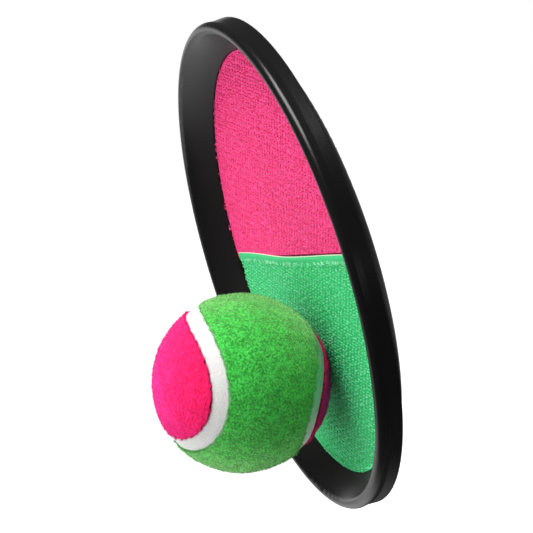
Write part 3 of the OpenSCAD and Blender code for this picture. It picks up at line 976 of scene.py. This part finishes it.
def edge_distance(directions, angle):
    """How far each direction is from the panel's edge, measured on the ball."""
    edge = seam_beside(np.linspace(0, 2 * math.pi, EDGE_POINTS), angle)
    near = np.stack([(row @ edge.T).max(axis=-1) for row in directions])
    return BALL_R * np.arccos(np.clip(near, -1, 1))


print("cut edges stray at most", round(RAG_DEEP * BALL_R * len(RAG_WAVES), 2))

# %% Felt panels
WOOL, FELT_CLOUDS, FELT_SPLIT, FELT_H = 0.8, 3, (0.38, 0.62), 0.8


def felt_finish(name, dark, light, pale):
    material, place, feed = new_finish(name, roughness=0.95, specular=0.1, sheen=1.0, sheen_tint=pale)
    matted = 0.7 * place.noise(WOOL, detail=3) + 0.3 * place.noise(FELT_CLOUDS, detail=3)
    feed("Base Color", matted.step(*FELT_SPLIT).mix(dark, light))
    feed("Normal", place.bump(FELT_H * matted))
    return material


def felt_panel(name, node, start, angle, finish, slot):
    """A felt with a rolled edge; its directions and outer points carry the nap."""
    directions = panel_directions(start, angle)
    inside = np.clip(edge_distance(directions, angle), 0, FELT_ROUND)
    drop = FELT_ROUND - np.sqrt(FELT_ROUND ** 2 - (FELT_ROUND - inside) ** 2)
    height = BALL_R - drop + LARGE_LUMP_H * lumps(directions, LARGE_LUMP)
    height = height + SMALL_LUMP_H * lumps(directions, SMALL_LUMP)
    outer = on_ball(directions * height[..., None])
    inner = on_ball(directions * (BALL_R - FELT_T + OVERLAP))
    piece = add_piece(name, *slab(outer, inner), finish, "ball", slot)
    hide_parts(node)
    print(name, "has", len(piece.data.polygons), "faces")
    return directions, outer


green_felt = felt_finish(
    "green_felt_finish", dark=(0.016, 0.29, 0.03), light=(0.062, 0.77, 0.092), pale=(0.66, 1.0, 0.5),
)
pink_felt = felt_finish(
    "pink_felt_finish", dark=(0.85, 0.006, 0.07), light=(1.0, 0.018, 0.14), pale=(1.0, 0.12, 0.8),
)
green_panel = felt_panel(
    "ball_green_panel", "ball_green_felt", -math.pi / 2, -STRIP_HALF, green_felt, "green_felt",
)
pink_panel = felt_panel("ball_pink_panel", "ball_pink_felt", 0.0, STRIP_HALF, pink_felt, "pink_felt")

# %% [markdown]
# Felt has a nap: loose ends of wool that stand off the surface. A hair system could grow far more of them
# than the export may hold. These are single strands, thicker than real ones and fewer. They show most on
# the ball's outline and along the cut edges.

# %% Nap
NAP_COUNT, NAP_TALL, NAP_LENGTHS, NAP_LEAN, NAP_SUNK = 12000, 0.5, (0.5, 1.2), 0.6, 0.2
LOW_LEAN, LOW_SHARE, TIP_LEAN, TIP_SHARE = 0.5, 0.5, 1.4, 0.6
EDGE_COUNT, EDGE_LENGTHS, EDGE_LEAN, EDGE_SUNK = 1100, (0.3, 1.0), 0.45, 0.3
EDGE_LIFT, EDGE_DROOP = 0.12, 0.05
NAP_RADII = np.array([0.09, 0.075, 0.035])


def standing_nap(directions, outer):
    """Bent fibres at random places of a panel, as many on each square millimetre everywhere."""
    down, across = outer[1:, :-1] - outer[:-1, :-1], outer[:-1, 1:] - outer[:-1, :-1]
    area = np.linalg.norm(np.cross(down, across), axis=-1)
    cell = rng.choice(area.size, NAP_COUNT, p=(area / area.sum()).ravel())
    row, column = np.unravel_index(cell, area.shape)
    a, b = rng.random((2, NAP_COUNT, 1))
    root = outer[row, column] + a * down[row, column] + b * across[row, column]
    normal = directions[row, column] @ BALL_TURN.T
    lean = rng.normal(0, NAP_LEAN, (NAP_COUNT, 3))
    length = NAP_TALL * rng.uniform(*NAP_LENGTHS, (NAP_COUNT, 1))
    middle = root + unit(normal + LOW_LEAN * lean) * length * LOW_SHARE
    tip = middle + unit(normal + TIP_LEAN * lean) * length * TIP_SHARE
    return np.stack([root - NAP_SUNK * normal, middle, tip], axis=1)


def edge_nap(directions, outer, edge, inner):
    """Fibres that hang over one cut edge, away from a column of points further in."""
    row = rng.integers(0, PANEL_ROWS, EDGE_COUNT)
    root = outer[row, edge]
    normal = directions[row, edge] @ BALL_TURN.T
    out = unit(unit(root - outer[row, inner]) + rng.normal(0, EDGE_LEAN, (EDGE_COUNT, 3)))
    half = 0.5 * rng.uniform(*EDGE_LENGTHS, (EDGE_COUNT, 1)) * out
    middle = root + half + EDGE_LIFT * normal
    return np.stack([root - EDGE_SUNK * out, middle, middle + half - EDGE_DROOP * normal], axis=1)


def nap_paths(panel):
    return np.concatenate([standing_nap(*panel), edge_nap(*panel, 0, 4), edge_nap(*panel, -1, -5)])


green_nap_finish = strand_finish(
    "green_nap_finish", (0.022, 0.36, 0.034), (0.6, 1.0, 0.5),
    roughness=0.9, specular=0.1, sheen=0.5, rarity=2.0,
)
pink_nap_finish = strand_finish(
    "pink_nap_finish", (0.85, 0.012, 0.12), (1.0, 0.05, 0.3), roughness=0.9, specular=0.1, sheen=0.2,
)
add_strands("ball_green_nap", nap_paths(green_panel), NAP_RADII, green_nap_finish, "ball", "green_felt")
add_strands("ball_pink_nap", nap_paths(pink_panel), NAP_RADII, pink_nap_finish, "ball", "pink_felt")

# %% [markdown]
# The strip lies a little below the felts, with a narrow groove along each side. A band cut from a sphere
# would not follow the seam, so the strip is a sheet along the same curve as the felts, and runs a little
# way under them. Its ends meet on the side of the ball that faces the dish. The white is flocked, so it
# is matt and slightly uneven.

# %% Seam strip
STRIP_ROWS, STRIP_COLUMNS, STRIP_UNDER = 360, 25, 1.06
STRIP_CROWN, STRIP_LUMP, STRIP_LUMP_H = 0.1, 0.1, 0.03
GROOVE_DEEP, GROOVE_FROM, GROOVE_SHARE = 0.7, 0.8, 0.14
FLOCK, FLOCK_H, FLOCK_SPLIT = 0.7, 0.25, (0.3, 0.7)

t = np.linspace(0, 2 * math.pi, STRIP_ROWS)
t = t + t[on_ball(seam_beside(t, 0 * t))[:, 1].argmax()]
share = np.linspace(-1, 1, STRIP_COLUMNS)
directions = seam_beside(*np.broadcast_arrays(t[:, None], share * STRIP_HALF * STRIP_UNDER))
side_groove = GROOVE_DEEP * smooth((np.abs(share) - GROOVE_FROM) / GROOVE_SHARE)
crown = BALL_R - STRIP_SINK + STRIP_CROWN * (1 - share ** 2) - side_groove
height = crown + STRIP_LUMP_H * lumps(directions, STRIP_LUMP)
strip_front = on_ball(directions * height[..., None])
strip_rear = on_ball(directions * (BALL_R - FELT_T + OVERLAP))

strip_finish, place, feed = new_finish("white_seam_strip", roughness=0.85, specular=0.2)
flock = place.noise(FLOCK, detail=3)
feed("Base Color", flock.step(*FLOCK_SPLIT).mix((0.69, 0.69, 0.685), (0.79, 0.79, 0.78)))
feed("Normal", place.bump(FLOCK_H * flock))
ball_strip = add_piece(
    "ball_seam_strip", *slab(strip_front, strip_rear), strip_finish, "ball", "white_strip",
)
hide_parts("ball_seam")
print("seam strip has", len(ball_strip.data.polygons), "faces")

# %% [markdown]
# Under the felt the ball is two moulded rubber cups, cemented together. They could be left bare, because
# they show only when the part is taken apart. They keep their CAD meshes, and a plain matt rubber is
# enough.

# %% Rubber core
RUBBER_CLOUDS, RUBBER_GRAIN, RUBBER_H = 4, 1.2, 0.05

rubber, place, feed = new_finish("grey_core_rubber", roughness=0.8, specular=0.3)
feed("Base Color", place.noise(RUBBER_CLOUDS, detail=3).mix((0.2, 0.2, 0.2), (0.3, 0.3, 0.3)))
feed("Normal", place.bump(RUBBER_H * place.noise(RUBBER_GRAIN)))
for cup in ("core_cup_front", "core_cup_rear"):
    paint(cup, rubber)

# %% [markdown]
# ## Light
#
# The paddle was photographed before a white sweep, with a dark room on the camera's side. A sweep could
# be modelled and lit, but then its brightness and the light on the paddle would change together. Here the
# world stands for it. It is white for the camera. Reflections see that white only low behind the paddle,
# a grey room behind the dish and a dark one elsewhere. Everything else gets a soft light that is weaker
# from the camera's side.

# %% White sweep
SWEEP_WAY = -back
AMBIENT, AMBIENT_CAMERA_SIDE, AMBIENT_STEP = 1.05, 0.08, (-0.65, 0.2)
SWEEP_STEP, SWEEP_TOP_STEP = (0.5, 0.8), (0.15, 0.3)
ROOM_DIM, ROOM_BEHIND, ROOM_BEHIND_STEP = 0.075, 0.45, (0.3, 0.9)


def light_rays(tree):
    """Shares of the rays of the camera, of reflections, through glass, and of all others."""
    path = tree.nodes.new("ShaderNodeLightPath")
    kinds = ("Camera", "Glossy", "Transmission")
    camera, glossy, glass = (Signal(path.outputs[f"Is {kind} Ray"]) for kind in kinds)
    return camera, glossy, glass, 1 - camera - glossy - glass


world = bpy.data.worlds.new("white_sweep")
world.use_nodes = True
scene.world = world
tree = world.node_tree
heading = Signal(tree.nodes.new("ShaderNodeTexCoord").outputs["Generated"])
to_sweep, rearward, upward = (heading.along(way) for way in (SWEEP_WAY, (0, 1, 0), (0, 0, 1)))
sweep = to_sweep.step(*SWEEP_STEP) * (1 - upward.step(*SWEEP_TOP_STEP))
mirrored = ROOM_DIM + (1 - ROOM_DIM) * sweep + ROOM_BEHIND * rearward.step(*ROOM_BEHIND_STEP)
soft = AMBIENT_CAMERA_SIDE + (AMBIENT - AMBIENT_CAMERA_SIDE) * to_sweep.step(*AMBIENT_STEP)
camera_rays, glossy_rays, glass_rays, other_rays = light_rays(tree)
strength = camera_rays + (glossy_rays + glass_rays) * mirrored + other_rays * soft
tree.links.new(strength.socket, tree.nodes["Background"].inputs["Strength"])
tree.nodes["Background"].inputs["Color"].default_value = (1, 1, 1, 1)
print("world: soft light of", AMBIENT, "and", AMBIENT_CAMERA_SIDE, "on the camera's side")

# %% [markdown]
# The floor is a white sheet that takes the paddle's shadow. More light would make it as white as the
# sweep, and the paddle too bright. So it has a glow that only the camera sees in full. In reflections the
# floor is bright under the sweep and far behind the dish. Below the skirt, behind the paddle, its colour
# is painted dark in reflections, as painted shade. On the camera's side its colour is painted dark for the
# light it throws back, so it throws little light back there: painted shade too. Its measures are in metres.

# %% Floor
FLOOR_Z, FLOOR_HALF = -0.26, 6
# The dark floor colour is painted shade.
FLOOR_WHITE, FLOOR_PAINTED_SHADE, FLOOR_GLOW = (0.88,) * 3, (0.05,) * 3, 0.56
UNDER_SWEEP, CAMERA_SIDE = (-0.03, 0.15), (-0.3, 0.05)
BELOW_SKIRT, FAR_BEHIND = (-0.05, 0.08), (0.3, 0.55)
# The first of these sets how dark the painted shade behind the paddle is in reflections.
SKIRT_PAINTED_SHADE, MIRRORED_WHITE, MIRRORED_GLOW = 0.92, 0.7, 0.22

floor_mesh = bpy.data.meshes.new("floor")
floor_corners = [(x * FLOOR_HALF, y * FLOOR_HALF, 0) for x, y in ((-1, -1), (1, -1), (1, 1), (-1, 1))]
floor_mesh.from_pydata(floor_corners, [], [(0, 1, 2, 3)])
floor = bpy.data.objects.new("floor", floor_mesh)
floor.location.z = FLOOR_Z
scene.collection.objects.link(floor)

floor_finish, place, feed = new_finish("white_floor", roughness=1.0, specular=0.0)
to_sweep, rearward = place.along(SWEEP_WAY), place.along((0, 1, 0))
near_sweep = to_sweep.step(*UNDER_SWEEP) * (1 - SKIRT_PAINTED_SHADE * rearward.step(*BELOW_SKIRT))
bright = near_sweep + (1 - near_sweep) * rearward.step(*FAR_BEHIND)
camera_rays, glossy_rays, glass_rays, other_rays = light_rays(floor_finish.node_tree)
# Painted shade: the floor's colour is dark in reflections behind the paddle, and dark for the light it
# throws back on the camera's side.
mirrored_painted_shade = glossy_rays * (1 - MIRRORED_WHITE * bright)
camera_side_painted_shade = other_rays * (1 - to_sweep.step(*CAMERA_SIDE))
feed("Base Color", (mirrored_painted_shade + camera_side_painted_shade).mix(FLOOR_WHITE, FLOOR_PAINTED_SHADE))
feed("Emission Color", FLOOR_GLOW * (camera_rays + glass_rays + MIRRORED_GLOW * glossy_rays * bright))
feed("Emission Strength", 1.0)
floor_mesh.materials.append(floor_finish)
print("floor", -FLOOR_Z, "metres below the middle of the dish")

# %% [markdown]
# Two lamps light the paddle: a long soft box overhead, whose reflection is the streak along the lip, and
# a broad fill before the catch face. Several small lamps could do the same, but each would draw a streak
# of its own in the satin plastic. The fill has no reflection, because the dark plastic shows none. Places
# and sizes are in metres.

# %% Lamps
def soft_lamp(name, watts, size, at, turn):
    lamp = bpy.data.objects.new(name, bpy.data.lights.new(name, "AREA"))
    lamp.data.energy = watts
    lamp.data.shape = "RECTANGLE"
    lamp.data.size, lamp.data.size_y = size
    lamp.location = at
    lamp.rotation_euler = turn
    scene.collection.objects.link(lamp)
    print(name, "of", watts, "watts")
    return lamp


FILL_AT = Vector((0.24, -1.0, 0.0))
fill_turn = (-FILL_AT).to_track_quat("-Z", "Y").to_euler()
soft_box_turn = (0, 0, math.radians(15))
soft_lamp("overhead_soft_box", 10.6, size=(0.72, 0.44), at=(0.34, -0.24, 0.85), turn=soft_box_turn)
front_fill = soft_lamp("front_fill", 14.8, size=(1.6, 1.6), at=FILL_AT, turn=fill_turn)
front_fill.visible_glossy = False
